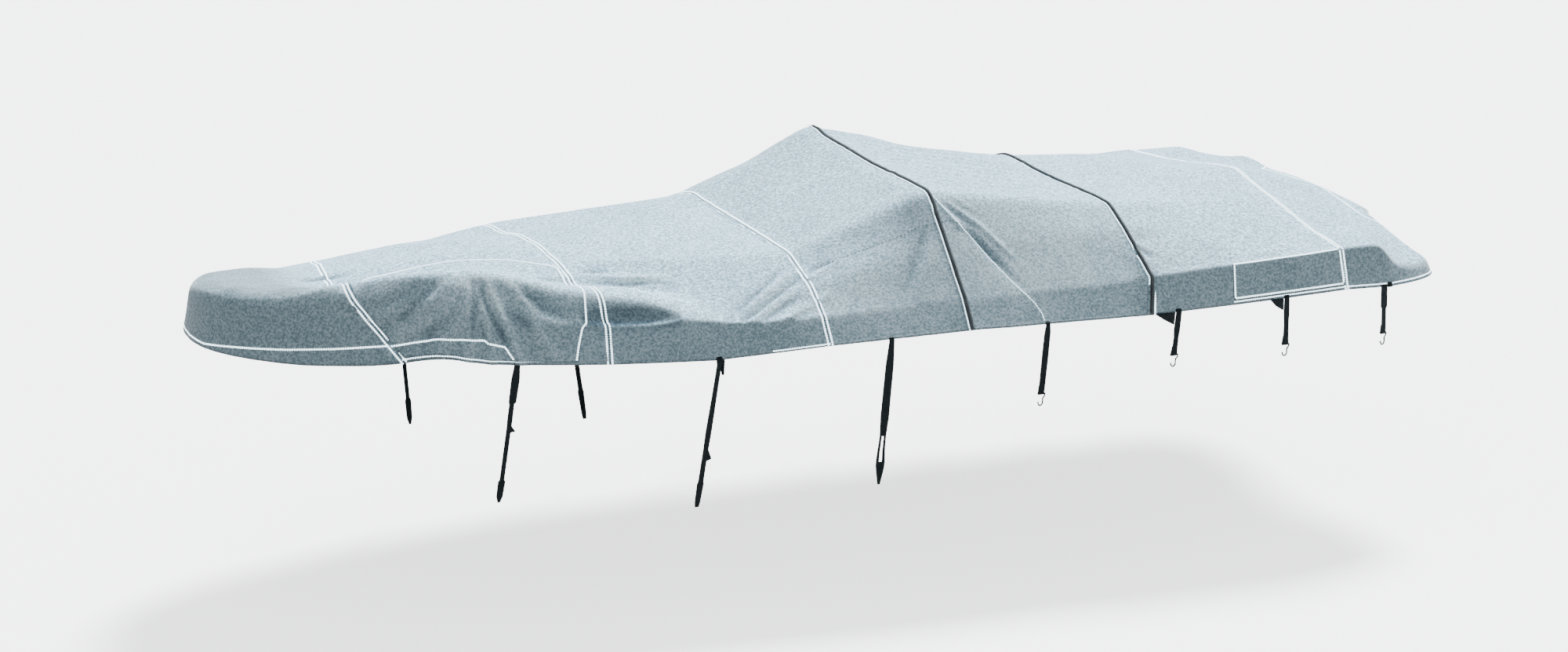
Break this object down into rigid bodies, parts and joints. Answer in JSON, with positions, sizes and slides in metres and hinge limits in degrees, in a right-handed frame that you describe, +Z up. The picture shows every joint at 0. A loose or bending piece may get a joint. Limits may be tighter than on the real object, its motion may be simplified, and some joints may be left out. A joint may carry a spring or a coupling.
{
  "type": "boat cover",
  "caption": "Fitted canvas cover for an open runabout, sewn from cross panels with a skirt and hem, dark piping, and webbing tie-down straps with wire hooks.",
  "frame": {"origin": "on the centreline, under the cloth's top where the windscreen's upper edge holds it up", "axes": "+X to the stern, +Y to starboard, +Z up"},
  "size_m": [6.0299, 2.3935, 1.4064],
  "materials": {
    "canvas": "matt woven canvas",
    "dark_cord": "dark covered cord",
    "black_webbing": "black woven webbing",
    "steel": "bright plated wire"
  },
  "bodies": {
    "root": {"gusset_port_5": "black_webbing", "gusset_port_6": "black_webbing", "gusset_port_7": "black_webbing", "gusset_starboard_5": "black_webbing", "gusset_starboard_6": "black_webbing", "gusset_starboard_7": "black_webbing", "hook_port_4": "steel", "hook_port_5": "steel", "hook_port_6": "steel", "hook_port_7": "steel", "hook_starboard_4": "steel", "hook_starboard_5": "steel", "hook_starboard_6": "steel", "hook_starboard_7": "steel", "panel_bow": "canvas", "panel_cockpit": "canvas", "panel_foredeck": "canvas", "panel_middeck": "canvas", "panel_rear": "canvas", "panel_screen": "canvas", "panel_stern": "canvas", "patch_bow_port": "canvas", "patch_stern_port": "canvas", "patch_stern_starboard": "canvas", "piping_rear": "dark_cord", "piping_screen": "dark_cord", "strap_port_1": "black_webbing", "strap_port_2": "black_webbing", "strap_port_3": "black_webbing", "strap_port_4": "black_webbing", "strap_port_5": "black_webbing", "strap_port_6": "black_webbing", "strap_port_7": "black_webbing", "strap_starboard_1": "black_webbing", "strap_starboard_2": "black_webbing", "strap_starboard_3": "black_webbing", "strap_starboard_4": "black_webbing", "strap_starboard_5": "black_webbing", "strap_starboard_6": "black_webbing", "strap_starboard_7": "black_webbing"}
  },
  "joints": []
}
